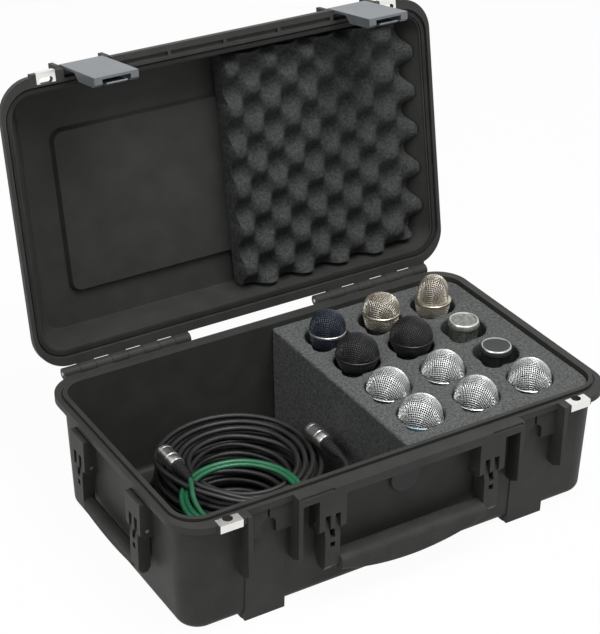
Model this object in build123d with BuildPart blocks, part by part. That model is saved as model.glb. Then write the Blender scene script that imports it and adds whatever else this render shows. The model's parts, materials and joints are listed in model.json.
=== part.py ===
from build123d import *
import os
from math import radians, sqrt, tan

# Moulded case for twelve microphones, with its lid open. Millimetres, +Z up.
# +X runs along the length to the right and the front faces -Y. It is drawn about the middle of
# the tub on the surface it stands on, and written about the middle of the whole's footprint.

os.makedirs("parts", exist_ok=True)

# ---------------------------------------------------------------- driving sizes

# Base tub
inner_length = 521
inner_width = 292
inner_radius = 26
wall = 4
draft = 2                    # degrees, every upright wall of the base
rim_height = 150             # parting plane above the resting surface
foot_height = 6
floor_thickness = 4
bottom_radius = 11           # outside, round the underside
floor_radius = 7             # inside, round the floor

# Rim flange and its sealing lip
flange_length = 546
flange_front = 165.5         # from the middle to the front edge
flange_back = 164.5
flange_thickness = 8
flange_radius = 40
lip_width = 5
lip_height = 2.7
groove_width = 2
groove_depth = 1.5
parting_gap = 0.3            # between the closed rims

# Front shelf over the handle
shelf_front = 170            # from the middle to the outermost moulded face
shelf_thickness = 11
pad_length = 40
pad_width = 7
pad_height = 3

# Latch stations
latch_x = 169
fin_spacing = 59             # between the middles of the two fins of a station
fin_thickness = 5
fin_drop = 75                # below the rim at the fin's front edge
fin_root_drop = 82
fin_radius = 12
pocket_face = 157.5          # flange edge between the fins
keeper_face = 155
keeper_top = 8               # below the rim
keeper_bottom = 41
notch_width = 17.5
notch_top = 21
slit_width = 2.5
pilaster_width = 48
pilaster_height = 1.5
foot_length = 50
foot_width = 34
foot_radius = 9

# Padlock tabs
tab_inner_x = 196
tab_outer_x = 234
tab_front = 168
hasp_x = 219
hasp_y = 159.5
hasp_hole_radius = 5.5
plate_width = 26
plate_thickness = 1
lid_hasp_x = 217
lid_plate_width = 22
lid_slot_length = 16
lid_slot_width = 7

# Pressure valve
valve_drop = 31              # below the rim
valve_radius = 18.5
valve_proud = 3.2
valve_stem_radius = 14
valve_boss_radius = 20
valve_boss_face = 149.8

# Carrying handles
bracket_width = 32.5
bracket_drop = 55            # bracket's lower end below the rim
bracket_bevel = 5
handle_pin_drop = 46         # pivot below the rim
handle_pin_radius = 2
prong_offset = 6             # from the arm's middle to a prong's middle
prong_width = 6
prong_eye_radius = 5.5
slot_clearance = 0.3
slot_headroom = 8            # above the prong's eye
slot_depth = 3.5             # behind it
arm_width = 18
arm_bottom_drop = 103
arm_shoulder_drop = 62       # top of the web between the prongs
arm_window = 7
front_handle_x = 101         # middle of each front arm
front_pin_y = 160
front_arm_back = 151
front_grip_back = 152
front_grip_front = 176
front_grip_bow = 15
side_handle_y = 66
side_face = 278.5            # outermost face at each end
side_pin_x = 270.5
side_arm_back = 264.5
side_grip_bow = 4
grip_top_drop = 88
grip_end_drop = 105
grip_rounding = 7
core_height = 10
core_depth = 9

# Hinges
hinge_y = 172
hinge_radius = 6.5
hinge_pin_radius = 2
pin_fit = 0.05               # radial, pin in the base's knuckles
pin_running = 0.1            # radial, pin in what turns on it
hinge_start_x = 85
knuckle_length = 20
knuckle_count = 8
knuckle_gap = 0.4
leaf_root_y = 160

# Lid
open_angle = 100             # degrees from closed to the pose that is modelled
lid_depth = 58               # outside, over the raised border
lid_top_length = 480
lid_top_width = 289
lid_root_length = 533        # where the body leaves the flange
lid_root_width = 301
lid_root_radius = 32
lid_top_radius = 20
lid_edge = 4                 # bevel round the raised border
lid_wall = 4.5
lid_straight = 7             # depth of the straight part of the opening
panel_step = 6
panel_length = 400
panel_front = 88.5
panel_back = 100
panel_radius = 12
lid_fin_height = 29
end_rib_width = 8
end_rib_proud = 6
recess_width = 8             # seal recess from the lid's opening outwards
recess_depth = 5
gasket_inset = 2
gasket_width = 4
channel_front = 163
channel_width = 5
channel_depth = 3
channel_rib = 4

# Latches
latch_width = 51
latch_plate = 3
latch_pin_y = 161
latch_pin_rise = 14          # pivot above the rim
latch_pin_radius = 2
latch_knuckle_radius = 6
latch_drop = 75
leg_width = 9
leg_depth = 8
leg_top_drop = 25
trigger_pin_y = 162
trigger_pin_drop = 42
trigger_pin_radius = 1.5
trigger_hub_radius = 4.5
trigger_hub_width = 24
trigger_lever_back = 158.2
trigger_lever_front = 161.5
trigger_lip_drop = 76
trigger_lip_front = 162.5
nose_back = 155.6
nose_top_drop = 44.6
nose_bottom_drop = 49
spring_radius = 3.9
spring_inner_radius = 2.2
spring_length = 3.9
spring_gap = 0.4

# Foam block and its sockets
foam_left_x = 10
foam_top_drop = 2
foam_fit = 0.3
socket_radius = 26.5
socket_first_x = 57
socket_pitch_x = 74
socket_first_y = -95
socket_pitch_y = 64
socket_columns = 3
socket_rows = 4
socket_floor = 14            # above the resting surface
relief_radius = 12
relief_offset = 23
relief_depth = 45

# Egg-crate foam in the lid
crate_left_x = 5
crate_right_x = 238
crate_width = 278
crate_radius = 26            # its two corners by the lid's end wall
crate_slab = 20
crate_peak = 16
crate_first_x = 13           # first column of peaks
crate_first_y = 22           # a peak of that column
crate_pitch_x = 50
crate_pitch_y = 48
crate_foot = 34
crate_tip = 14

# Microphones
mic_seat_gap = 0.2
mic_tail_radius = 12
mic_tail_bevel = 1.5
mic_handle_radius = 16       # where the handle flares out to the neck
mic_flare = 10
mic_neck_radius = 18
mic_bowl_depth = 20          # from the ring down to the neck
mic_band_height = 3
mic_band_proud = 0.8

# Cables in the open compartment
coil_x = -122
coil_y = 4
coil_outer_radius = 103
coil_inner_radius = 46
lower_coil_height = 37
upper_coil_height = 38
upper_coil_shift = 14
green_coil_x = -150
green_coil_y = -60
green_coil_radius = 76
green_coil_width = 13
green_coil_height = 7
coil_bevel = 9
cable_radius = 3
barrel_radius = 9.5
barrel_length = 32
boot_length = 30
boot_radius = 7.5            # strain relief where it leaves the barrel
# Each plug: x and y of its nose, and the way its boot points, in degrees from +Y
upper_plug_right = (-20, 6, 180)
upper_plug_left = (-241, 12, 180)
lower_plug_front = (-134, -122, 90)
lower_plug_right = (-4.5, -32, 0)
green_plug_left = (-186, 44, 180)
green_plug_right = (6, -122, 90)

# ---------------------------------------------------------------- derived sizes

slope = tan(radians(draft))
outer_length = inner_length + 2 * wall
outer_width = inner_width + 2 * wall
outer_radius = inner_radius + wall
inner_floor = foot_height + floor_thickness
flange_width = flange_front + flange_back
flange_y = (flange_back - flange_front) / 2
lid_rim = rim_height + parting_gap
lid_top = rim_height + lid_depth
lid_flange_top = lid_rim + flange_thickness
hinge_axis = Axis((0, hinge_y, rim_height), (1, 0, 0))
latch_pin_z = rim_height + latch_pin_rise
trigger_pin_z = rim_height - trigger_pin_drop
handle_pin_z = rim_height - handle_pin_drop
fin_outer_offset = (fin_spacing + fin_thickness) / 2
pocket_half_width = (fin_spacing - fin_thickness) / 2
foam_top = rim_height - foam_top_drop
sides = {"left": -1, "right": 1}


def wall_face(height):
    """Distance from the middle plane to the outside of the front wall."""
    return outer_width / 2 - (rim_height - height) * slope


def wall_middle(height):
    """Distance from the middle plane to the middle of the front wall's thickness."""
    return wall_face(height) - wall / 2


# ---------------------------------------------------------------- shared helpers


def down_from(height, y=0):
    """Sketch plane at a height, facing down, with its x along X."""
    return Plane(origin=(0, y, height), x_dir=(1, 0, 0), z_dir=(0, 0, -1))


def block(x, y, z, mode=Mode.ADD):
    """Block between pairs of x, y and z limits, in the part being built."""
    with Locations(((x[0] + x[1]) / 2, (y[0] + y[1]) / 2, (z[0] + z[1]) / 2)):
        Box(abs(x[1] - x[0]), abs(y[1] - y[0]), z[1] - z[0], mode=mode)


def side_profile(points, x, mode=Mode.ADD):
    """Extrude a closed (y, z) outline between two x limits, in the part being built."""
    with BuildSketch(Plane.YZ.offset(x[0])) as outline:
        with BuildLine():
            Polyline(*points, close=True)
        make_face()
    extrude(outline.sketch, amount=x[1] - x[0], mode=mode)


def front_profile(points, y, mode=Mode.ADD):
    """Extrude a closed (x, z) outline between two y limits, in the part being built."""
    with BuildSketch(Plane(origin=(0, y[0], 0), x_dir=(1, 0, 0), z_dir=(0, -1, 0))) as outline:
        with BuildLine():
            Polyline(*points, close=True)
        make_face()
    extrude(outline.sketch, amount=y[0] - y[1], mode=mode)


def rod(radius, x, y, z, mode=Mode.ADD):
    """Round rod along X between two x limits, in the part being built."""
    with BuildSketch(Plane.YZ.offset(x[0])) as section:
        with Locations((y, z)):
            Circle(radius)
    extrude(section.sketch, amount=x[1] - x[0], mode=mode)


def opened(part):
    """Turn a piece that was drawn on the closed lid to the open pose."""
    return part.rotate(hinge_axis, -open_angle)


pieces = []


def save(part, name):
    """Label one finished piece and keep it for the writing at the end."""
    part.label = name
    pieces.append(part)


def pair(values, side):
    """Mirror a pair of positive x limits to the given side, low value first."""
    return tuple(sorted(side * value for value in values))


# ---------------------------------------------------------------- handle families


def bracket_solid(middle, face, root, pin_y):
    """Two handle brackets, drawn as on the front wall, whose lugs carry the pivot pins."""
    low = rim_height - bracket_drop
    high = rim_height - shelf_thickness
    slot_top = handle_pin_z + prong_eye_radius + slot_headroom
    slot_back = pin_y - prong_eye_radius - slot_depth
    with BuildPart() as brackets:
        for side in (-1, 1):
            x_mid = side * middle
            half = bracket_width / 2
            outline = [(-root, high), (-face, high), (-face, low + bracket_bevel),
                       (bracket_bevel - face, low), (-root, low)]
            side_profile(outline, (x_mid - half, x_mid + half))
            for offset in (-prong_offset, prong_offset):
                gap = prong_width / 2 + slot_clearance
                slot_x = (x_mid + offset - gap, x_mid + offset + gap)
                block(slot_x, (-face - 1, -slot_back), (low - 1, slot_top), Mode.SUBTRACT)
            rod(handle_pin_radius + pin_fit, (x_mid - half - 1, x_mid + half + 1), -pin_y,
                handle_pin_z, Mode.SUBTRACT)
    return brackets.part


def handle_solid(middle, face, back, pin_y, grip_y):
    """Two forked arms joined by the core bar that the rubber grip is moulded on."""
    shoulder = rim_height - arm_shoulder_drop
    bottom = rim_height - arm_bottom_drop
    with BuildPart() as handle:
        for side in (-1, 1):
            x_mid = side * middle
            for offset in (-prong_offset, prong_offset):
                prong_x = (x_mid + offset - prong_width / 2, x_mid + offset + prong_width / 2)
                rod(prong_eye_radius, prong_x, -pin_y, handle_pin_z)
                outline = [(-pin_y - prong_eye_radius, handle_pin_z), (-face, shoulder + 3),
                           (-face, shoulder - 4), (-back, shoulder - 4), (-back, shoulder + 3),
                           (-pin_y + prong_eye_radius, handle_pin_z)]
                side_profile(outline, prong_x)
            half = arm_width / 2
            outline = [(-face, shoulder), (-face, bottom + 6), (-face + 4, bottom), (-back - 4, bottom),
                       (-back, bottom + 6), (-back, shoulder)]
            side_profile(outline, (x_mid - half, x_mid + half))
            window = (x_mid - prong_offset + prong_width / 2, x_mid + prong_offset - prong_width / 2)
            window_top = shoulder - 5
            block(window, (-face - 1, -back + 1), (window_top - arm_window, window_top), Mode.SUBTRACT)
            rod(handle_pin_radius + pin_running, (x_mid - half - 1, x_mid + half + 1), -pin_y,
                handle_pin_z, Mode.SUBTRACT)
        block((-middle, middle), (-grip_y - core_depth / 2, -grip_y + core_depth / 2),
              (bottom + 2, bottom + 2 + core_height))
    return handle.part


def grip_solid(middle, front, back, bow, grip_y):
    """Rubber grip round the core bar, with a bowed lower edge."""
    half = middle - arm_width / 2
    top = rim_height - grip_top_drop
    end = rim_height - grip_end_drop
    bottom = rim_height - arm_bottom_drop
    with BuildPart() as grip:
        with BuildSketch(Plane(origin=(0, -back, 0), x_dir=(1, 0, 0), z_dir=(0, -1, 0))):
            with BuildLine():
                Polyline((half, end), (half, top), (-half, top), (-half, end))
                ThreePointArc((-half, end), (0, end - bow), (half, end))
            make_face()
        extrude(amount=front - back)
        long_edges = grip.edges().filter_by(lambda edge: edge.length > half)
        fillet(long_edges, radius=min(grip_rounding, 0.4 * (front - back)))
        block((-half - 1, half + 1), (-grip_y - core_depth / 2, -grip_y + core_depth / 2),
              (bottom + 2, bottom + 2 + core_height), Mode.SUBTRACT)
    return grip.part


def handle_pins(middle, pin_y):
    """The two pivot pins of one handle."""
    with BuildPart() as pins:
        for side in (-1, 1):
            half = bracket_width / 2
            rod(handle_pin_radius, (side * middle - half, side * middle + half), -pin_y, handle_pin_z)
    return pins.part


front_grip_y = (front_grip_front + front_grip_back) / 2
side_grip_y = (side_face + side_arm_back) / 2
end_turns = {"left": -90, "right": 90}

front_brackets = bracket_solid(front_handle_x, shelf_front, inner_width / 2, front_pin_y)
side_brackets = bracket_solid(side_handle_y, side_face, inner_length / 2, side_pin_x)

# ---------------------------------------------------------------- base shell

with BuildPart() as base_shell:
    # Drafted tub with a rounded underside
    with BuildSketch(down_from(rim_height)) as tub:
        RectangleRounded(outer_length, outer_width, outer_radius)
    extrude(tub.sketch, amount=rim_height - foot_height, taper=draft)
    fillet(base_shell.faces().sort_by(Axis.Z)[0].edges(), radius=bottom_radius)

    # Flange, front shelf and padlock tabs
    with BuildSketch(down_from(rim_height, flange_y)) as flange:
        RectangleRounded(flange_length, flange_width, flange_radius)
    extrude(flange.sketch, amount=flange_thickness)
    inner_fin_x = latch_x - fin_spacing / 2
    block((-inner_fin_x, inner_fin_x), (-shelf_front, -wall_middle(rim_height)),
          (rim_height - shelf_thickness, rim_height))
    for side in (-1, 1):
        block(pair((tab_inner_x, tab_outer_x), side), (-tab_front, -wall_middle(rim_height)),
              (rim_height - flange_thickness, rim_height))

    # Latch stations: pocket, fins, keeper with its notch, pilaster and feet
    for side in (-1, 1):
        station_x = side * latch_x
        pocket_x = (station_x - pocket_half_width, station_x + pocket_half_width)
        block(pocket_x, (-shelf_front - 1, -pocket_face),
              (rim_height - shelf_thickness - 1, rim_height + 1), Mode.SUBTRACT)
        for offset in (-fin_spacing / 2, fin_spacing / 2):
            fin_x = (station_x + offset - fin_thickness / 2, station_x + offset + fin_thickness / 2)
            low = rim_height - fin_drop
            root_low = rim_height - fin_root_drop
            with BuildSketch(Plane.YZ.offset(fin_x[0])) as fin:
                with BuildLine():
                    Polyline((-wall_middle(rim_height), rim_height), (-shelf_front, rim_height),
                             (-shelf_front, low), (-shelf_front + fin_radius, root_low),
                             (-wall_middle(root_low), root_low), close=True)
                make_face()
                fillet(fin.vertices().sort_by(Axis.Y)[0:3].sort_by(Axis.Z)[0:2], radius=fin_radius / 2)
            extrude(fin.sketch, amount=fin_thickness)
        keeper_z = (rim_height - keeper_bottom, rim_height - keeper_top)
        block(pocket_x, (-keeper_face, -wall_middle(keeper_z[1])), keeper_z)
        block((station_x - slit_width / 2, station_x + slit_width / 2),
              (-keeper_face - 1, -wall_face(keeper_z[1])), (keeper_z[0] + 5, keeper_z[1]), Mode.SUBTRACT)
        with BuildSketch(Plane(origin=(0, -wall_face(keeper_z[1]), 0), x_dir=(1, 0, 0),
                               z_dir=(0, -1, 0))) as notch:
            arch_z = rim_height - notch_top - notch_width / 2
            with Locations((station_x, (keeper_z[0] - 1 + arch_z) / 2)):
                Rectangle(notch_width, arch_z - keeper_z[0] + 1)
            with Locations((station_x, arch_z)):
                Circle(notch_width / 2)
        extrude(notch.sketch, amount=keeper_face, mode=Mode.SUBTRACT)
        base_level = foot_height + 2
        face_high = wall_face(keeper_z[0]) + pilaster_height
        face_low = wall_face(0) + pilaster_height
        outline = [(-wall_middle(keeper_z[0]), keeper_z[0]), (-face_high, keeper_z[0]), (-face_low, 0),
                   (-face_low + foot_radius, 0), (-wall_middle(base_level), base_level)]
        side_profile(outline, (station_x - pilaster_width / 2, station_x + pilaster_width / 2))
        for row in (-1, 1):
            foot_y = row * (face_low - foot_width / 2)
            with BuildSketch(Plane.XY) as foot:
                with Locations((station_x, foot_y)):
                    RectangleRounded(foot_length, foot_width, foot_radius)
            extrude(foot.sketch, amount=base_level)

    # Raised pads on the shelf, each with a slot in front of it
    for side in (-1, 1):
        pad_x = pair((latch_x - fin_spacing / 2 - pad_length, latch_x - fin_spacing / 2), side)
        pad_y = -wall_face(rim_height) - lip_width - 6
        block(pad_x, (pad_y - pad_width - 2, pad_y - pad_width),
              (rim_height - pad_height, rim_height), Mode.SUBTRACT)

    # Boss for the pressure valve and the handle brackets
    with BuildSketch(Plane(origin=(0, -wall_middle(rim_height), 0), x_dir=(1, 0, 0),
                           z_dir=(0, -1, 0))) as boss:
        with Locations((0, rim_height - valve_drop)):
            Circle(valve_boss_radius)
    extrude(boss.sketch, amount=valve_boss_face - wall_middle(rim_height))
    add(front_brackets)
    for name, turn in end_turns.items():
        add(side_brackets.rotate(Axis.Z, turn))

    # Cavity, with a rounded floor
    with BuildSketch(down_from(rim_height)) as mouth:
        RectangleRounded(inner_length, inner_width, inner_radius)
    extrude(mouth.sketch, amount=rim_height - inner_floor, taper=draft, mode=Mode.SUBTRACT)
    fillet(base_shell.faces().filter_by(Plane.XY).filter_by(
        lambda face: abs(face.center().Z - inner_floor) < 0.01).edges(), radius=floor_radius)

    # Sealing lip and the groove outside it
    with BuildSketch(Plane.XY.offset(rim_height)) as lip:
        RectangleRounded(inner_length + 2 * lip_width, inner_width + 2 * lip_width,
                         inner_radius + lip_width)
        RectangleRounded(inner_length, inner_width, inner_radius, mode=Mode.SUBTRACT)
    extrude(lip.sketch, amount=lip_height)
    with BuildSketch(down_from(rim_height)) as groove:
        groove_out = lip_width + groove_width
        RectangleRounded(inner_length + 2 * groove_out, inner_width + 2 * groove_out,
                         inner_radius + groove_out)
        RectangleRounded(inner_length + 2 * lip_width, inner_width + 2 * lip_width,
                         inner_radius + lip_width, mode=Mode.SUBTRACT)
    extrude(groove.sketch, amount=groove_depth, mode=Mode.SUBTRACT)

    # Base knuckles of both hinges, alternate ones from the left
    for side in (-1, 1):
        first = hinge_start_x if side > 0 else -hinge_start_x - knuckle_count * knuckle_length
        for index in range(0, knuckle_count, 2):
            start = first + index * knuckle_length + knuckle_gap / 2
            knuckle_x = (start, start + knuckle_length - knuckle_gap)
            block(knuckle_x, (leaf_root_y, hinge_y), (rim_height - hinge_radius, rim_height - parting_gap))
            rod(hinge_radius, knuckle_x, hinge_y, rim_height)
        rod(hinge_pin_radius + pin_fit, (first - 1, first + knuckle_count * knuckle_length + 1),
            hinge_y, rim_height, Mode.SUBTRACT)

    # Padlock holes, with recesses for their steel plates
    for side in (-1, 1):
        plate_x = (side * hasp_x - plate_width / 2, side * hasp_x + plate_width / 2)
        block(plate_x, (-tab_front - 1, -hasp_y + 3), (rim_height - plate_thickness, rim_height + 1),
              Mode.SUBTRACT)
    with BuildSketch(down_from(rim_height + 1, -hasp_y)) as hasp:
        with Locations((-hasp_x, 0), (hasp_x, 0)):
            Circle(hasp_hole_radius)
    extrude(hasp.sketch, amount=flange_thickness + 2, mode=Mode.SUBTRACT)

    # Hole for the valve's stem
    with BuildSketch(Plane(origin=(0, -wall_face(0) + 2 * wall, 0), x_dir=(1, 0, 0),
                           z_dir=(0, -1, 0))) as stem_hole:
        with Locations((0, rim_height - valve_drop)):
            Circle(valve_stem_radius + pin_fit)
    extrude(stem_hole.sketch, amount=5 * wall, mode=Mode.SUBTRACT)

save(base_shell.part, "base_shell")

# ---------------------------------------------------------------- fitted to the base

for name, side in sides.items():
    first = hinge_start_x if side > 0 else -hinge_start_x - knuckle_count * knuckle_length
    with BuildPart() as hinge_pin:
        rod(hinge_pin_radius, (first, first + knuckle_count * knuckle_length), hinge_y, rim_height)
    save(hinge_pin.part, f"hinge_pin_{name}")

with BuildPart() as pressure_valve:
    # Stem through the wall, then the capped disc outside it
    stem_end = wall_face(rim_height - valve_drop + valve_stem_radius) - wall
    with BuildSketch(Plane(origin=(0, -stem_end, 0), x_dir=(1, 0, 0), z_dir=(0, -1, 0))):
        with Locations((0, rim_height - valve_drop)):
            Circle(valve_stem_radius)
    extrude(amount=valve_boss_face - stem_end)
    with BuildSketch(Plane(origin=(0, -valve_boss_face, 0), x_dir=(1, 0, 0), z_dir=(0, -1, 0))):
        with Locations((0, rim_height - valve_drop)):
            Circle(valve_radius)
    extrude(amount=valve_proud)
    chamfer(pressure_valve.faces().sort_by(Axis.Y)[0].edges(), length=1)
save(pressure_valve.part, "pressure_valve")


def hasp_plate(x_mid, width, low, cut_length, cut_width, lip_z):
    """Steel plate bent over a padlock tab, cut out round the tab's hole."""
    with BuildPart() as plate:
        block((x_mid - width / 2, x_mid + width / 2), (-tab_front - plate_thickness, -hasp_y + 3),
              (low, low + plate_thickness))
        block((x_mid - width / 2, x_mid + width / 2), (-tab_front - plate_thickness, -tab_front), lip_z)
        with BuildSketch(Plane(origin=(x_mid, -hasp_y, low - 1))):
            if cut_length > cut_width:
                SlotOverall(cut_length, cut_width)
            else:
                Circle(cut_width / 2)
        extrude(amount=plate_thickness + 2, mode=Mode.SUBTRACT)
    return plate.part


for name, side in sides.items():
    plate = hasp_plate(side * hasp_x, plate_width, rim_height - plate_thickness, 0,
                       2 * hasp_hole_radius, (rim_height - flange_thickness - 1, rim_height))
    save(plate, f"padlock_plate_base_{name}")

save(handle_pins(front_handle_x, front_pin_y), "front_handle_pins")
save(handle_solid(front_handle_x, shelf_front, front_arm_back, front_pin_y, front_grip_y),
     "front_handle")
save(grip_solid(front_handle_x, front_grip_front, front_grip_back, front_grip_bow, front_grip_y),
     "front_grip")
for name, turn in end_turns.items():
    pins = handle_pins(side_handle_y, side_pin_x)
    handle = handle_solid(side_handle_y, side_face, side_arm_back, side_pin_x, side_grip_y)
    grip = grip_solid(side_handle_y, side_face, side_arm_back, side_grip_bow, side_grip_y)
    save(pins.rotate(Axis.Z, turn), f"{name}_handle_pins")
    save(handle.rotate(Axis.Z, turn), f"{name}_handle")
    save(grip.rotate(Axis.Z, turn), f"{name}_grip")

# ---------------------------------------------------------------- foam block

socket_xs = [socket_first_x + column * socket_pitch_x for column in range(socket_columns)]
socket_ys = [socket_first_y + row * socket_pitch_y for row in range(socket_rows)]

with BuildPart() as foam_block:
    with BuildSketch(down_from(rim_height)):
        RectangleRounded(inner_length - 2 * foam_fit, inner_width - 2 * foam_fit, inner_radius)
    extrude(amount=rim_height - inner_floor - foam_fit, taper=draft)
    chamfer(foam_block.faces().sort_by(Axis.Z)[0].edges(), length=floor_radius * 0.7)
    block((-inner_length, foam_left_x), (-inner_width, inner_width), (0, rim_height + 1), Mode.SUBTRACT)
    block((-inner_length, inner_length), (-inner_width, inner_width), (foam_top, rim_height + 1),
          Mode.SUBTRACT)
    with BuildSketch(down_from(foam_top)) as sockets:
        with Locations(*[(x, -y) for x in socket_xs for y in socket_ys]):
            Circle(socket_radius)
    extrude(sockets.sketch, amount=foam_top - socket_floor, mode=Mode.SUBTRACT)
    reach = relief_offset / sqrt(2)
    with BuildSketch(down_from(foam_top)) as reliefs:
        with Locations(*[(x + end * reach, -y - end * reach)
                         for x in socket_xs for y in socket_ys for end in (-1, 1)]):
            Circle(relief_radius)
    extrude(reliefs.sketch, amount=relief_depth, mode=Mode.SUBTRACT)
save(foam_block.part, "foam_block")

# ---------------------------------------------------------------- lid

with BuildPart() as lid_cavity:
    with BuildSketch(Plane.XY.offset(rim_height)):
        RectangleRounded(inner_length, inner_width, inner_radius)
    extrude(amount=lid_straight)
    cavity_run = (lid_root_length - lid_top_length) / (lid_depth - flange_thickness)
    cavity_rise = lid_depth - lid_wall - lid_straight
    with BuildSketch(Plane.XY.offset(rim_height + lid_straight)) as lower:
        RectangleRounded(inner_length, inner_width, inner_radius)
    with BuildSketch(Plane.XY.offset(lid_top - lid_wall)) as upper:
        RectangleRounded(inner_length - cavity_run * cavity_rise,
                         lid_top_width - 2 * lid_wall, lid_top_radius - lid_wall / 2)
    loft([lower.sketch, upper.sketch], ruled=True)
    # The middle panel of the lid stands into the cavity
    with BuildSketch(down_from(lid_top - lid_wall, (panel_back - panel_front) / 2)) as panel:
        RectangleRounded(panel_length + lid_wall, panel_front + panel_back + lid_wall,
                         panel_radius + lid_wall / 2)
    extrude(panel.sketch, amount=panel_step, taper=30, mode=Mode.SUBTRACT)

with BuildPart() as lid_shell:
    # Sloping body on a flange
    with BuildSketch(Plane.XY.offset(lid_flange_top - 1)) as root:
        RectangleRounded(lid_root_length, lid_root_width, lid_root_radius)
    with BuildSketch(Plane.XY.offset(lid_top - lid_edge)) as shoulder:
        RectangleRounded(lid_top_length, lid_top_width, lid_top_radius)
    loft([root.sketch, shoulder.sketch], ruled=True)
    with BuildSketch(Plane.XY.offset(lid_top)) as crown:
        RectangleRounded(lid_top_length - 2 * lid_edge, lid_top_width - 2 * lid_edge,
                         lid_top_radius - lid_edge)
    loft([shoulder.sketch, crown.sketch], ruled=True)
    with BuildSketch(Plane.XY.offset(lid_rim)) as flange:
        with Locations((0, flange_y)):
            RectangleRounded(flange_length, flange_width, flange_radius)
    extrude(flange.sketch, amount=flange_thickness)
    with BuildSketch(down_from(lid_top, (panel_back - panel_front) / 2)) as outer_panel:
        RectangleRounded(panel_length, panel_front + panel_back, panel_radius)
    extrude(outer_panel.sketch, amount=panel_step, taper=30, mode=Mode.SUBTRACT)

    # Ribs down the sloping ends
    root_half = lid_root_length / 2
    top_half = lid_top_length / 2
    for side in (-1, 1):
        for rib_y in (-(panel_front - 18), panel_back - 10):
            outline = [(side * (root_half - 4), lid_flange_top - 1),
                       (side * (root_half + end_rib_proud), lid_flange_top - 1),
                       (side * (top_half + end_rib_proud), lid_top - 3),
                       (side * (top_half - 4), lid_top - 3)]
            front_profile(outline, (rib_y + end_rib_width / 2, rib_y - end_rib_width / 2))

    # Padlock tabs, then the latch ears with the flange cut back between them
    for side in (-1, 1):
        block(pair((tab_inner_x, tab_outer_x), side), (-tab_front, -lid_root_width / 2),
              (lid_rim, lid_flange_top))
        station_x = side * latch_x
        for offset in (-fin_spacing / 2, fin_spacing / 2):
            fin_x = (station_x + offset - fin_thickness / 2, station_x + offset + fin_thickness / 2)
            fin_top = rim_height + lid_fin_height
            with BuildSketch(Plane.YZ.offset(fin_x[0])) as ear:
                with BuildLine():
                    Polyline((-lid_top_width / 2, lid_rim), (-shelf_front, lid_rim),
                             (-shelf_front, fin_top), (-lid_top_width / 2, fin_top), close=True)
                make_face()
                fillet(ear.vertices().group_by(Axis.Y)[0].sort_by(Axis.Z)[-1], radius=fin_radius)
            extrude(ear.sketch, amount=fin_thickness)
        block((station_x - pocket_half_width, station_x + pocket_half_width),
              (-shelf_front - 1, -pocket_face), (rim_height, lid_flange_top + 1), Mode.SUBTRACT)
        rod(latch_pin_radius + pin_fit, (station_x - fin_outer_offset - 1,
                                         station_x + fin_outer_offset + 1),
            -latch_pin_y, latch_pin_z, Mode.SUBTRACT)

    # Front shelf that matches the base's
    block((-inner_fin_x, inner_fin_x), (-shelf_front, -pocket_face), (lid_rim, lid_flange_top))

    # Cavity, seal recess and the ribbed channel in the front rim
    add(lid_cavity.part, mode=Mode.SUBTRACT)
    with BuildSketch(Plane.XY.offset(rim_height)) as recess:
        RectangleRounded(inner_length + 2 * recess_width, inner_width + 2 * recess_width,
                         inner_radius + recess_width)
    extrude(recess.sketch, amount=recess_depth, mode=Mode.SUBTRACT)
    bay = inner_fin_x / 2
    for index in range(-2, 2):
        bay_x = (index * bay + channel_rib / 2, (index + 1) * bay - channel_rib / 2)
        block(bay_x, (-channel_front, -channel_front + channel_width),
              (rim_height, lid_rim + channel_depth), Mode.SUBTRACT)

    # Lid knuckles between those of the base
    for side in (-1, 1):
        first = hinge_start_x if side > 0 else -hinge_start_x - knuckle_count * knuckle_length
        for index in range(1, knuckle_count, 2):
            start = first + index * knuckle_length + knuckle_gap / 2
            knuckle_x = (start, start + knuckle_length - knuckle_gap)
            block(knuckle_x, (leaf_root_y, hinge_y), (lid_rim, rim_height + hinge_radius))
            rod(hinge_radius, knuckle_x, hinge_y, rim_height)
        rod(hinge_pin_radius + pin_running, (first - 1, first + knuckle_count * knuckle_length + 1),
            hinge_y, rim_height, Mode.SUBTRACT)

    # Padlock slots and the recesses of their plates
    for side in (-1, 1):
        plate_x = (side * lid_hasp_x - lid_plate_width / 2, side * lid_hasp_x + lid_plate_width / 2)
        block(plate_x, (-tab_front - 1, -hasp_y + 3), (rim_height, lid_rim + plate_thickness),
              Mode.SUBTRACT)
    with BuildSketch(Plane.XY.offset(rim_height)) as slots:
        with Locations((-lid_hasp_x, -hasp_y), (lid_hasp_x, -hasp_y)):
            SlotOverall(lid_slot_length, lid_slot_width)
    extrude(slots.sketch, amount=flange_thickness + 2, mode=Mode.SUBTRACT)

save(opened(lid_shell.part), "lid_shell")

with BuildPart() as lid_gasket:
    gasket_in = 2 * gasket_inset
    gasket_out = gasket_in + 2 * gasket_width
    gasket_low = rim_height + lip_height + parting_gap
    with BuildSketch(Plane.XY.offset(gasket_low)):
        RectangleRounded(inner_length + gasket_out, inner_width + gasket_out,
                         inner_radius + gasket_out / 2)
        RectangleRounded(inner_length + gasket_in, inner_width + gasket_in,
                         inner_radius + gasket_in / 2, mode=Mode.SUBTRACT)
    extrude(amount=rim_height + recess_depth - gasket_low)
save(opened(lid_gasket.part), "lid_gasket")

for name, side in sides.items():
    plate = hasp_plate(side * lid_hasp_x, lid_plate_width, lid_rim, lid_slot_length, lid_slot_width,
                       (lid_rim, lid_flange_top))
    save(opened(plate), f"padlock_plate_lid_{name}")

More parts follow.
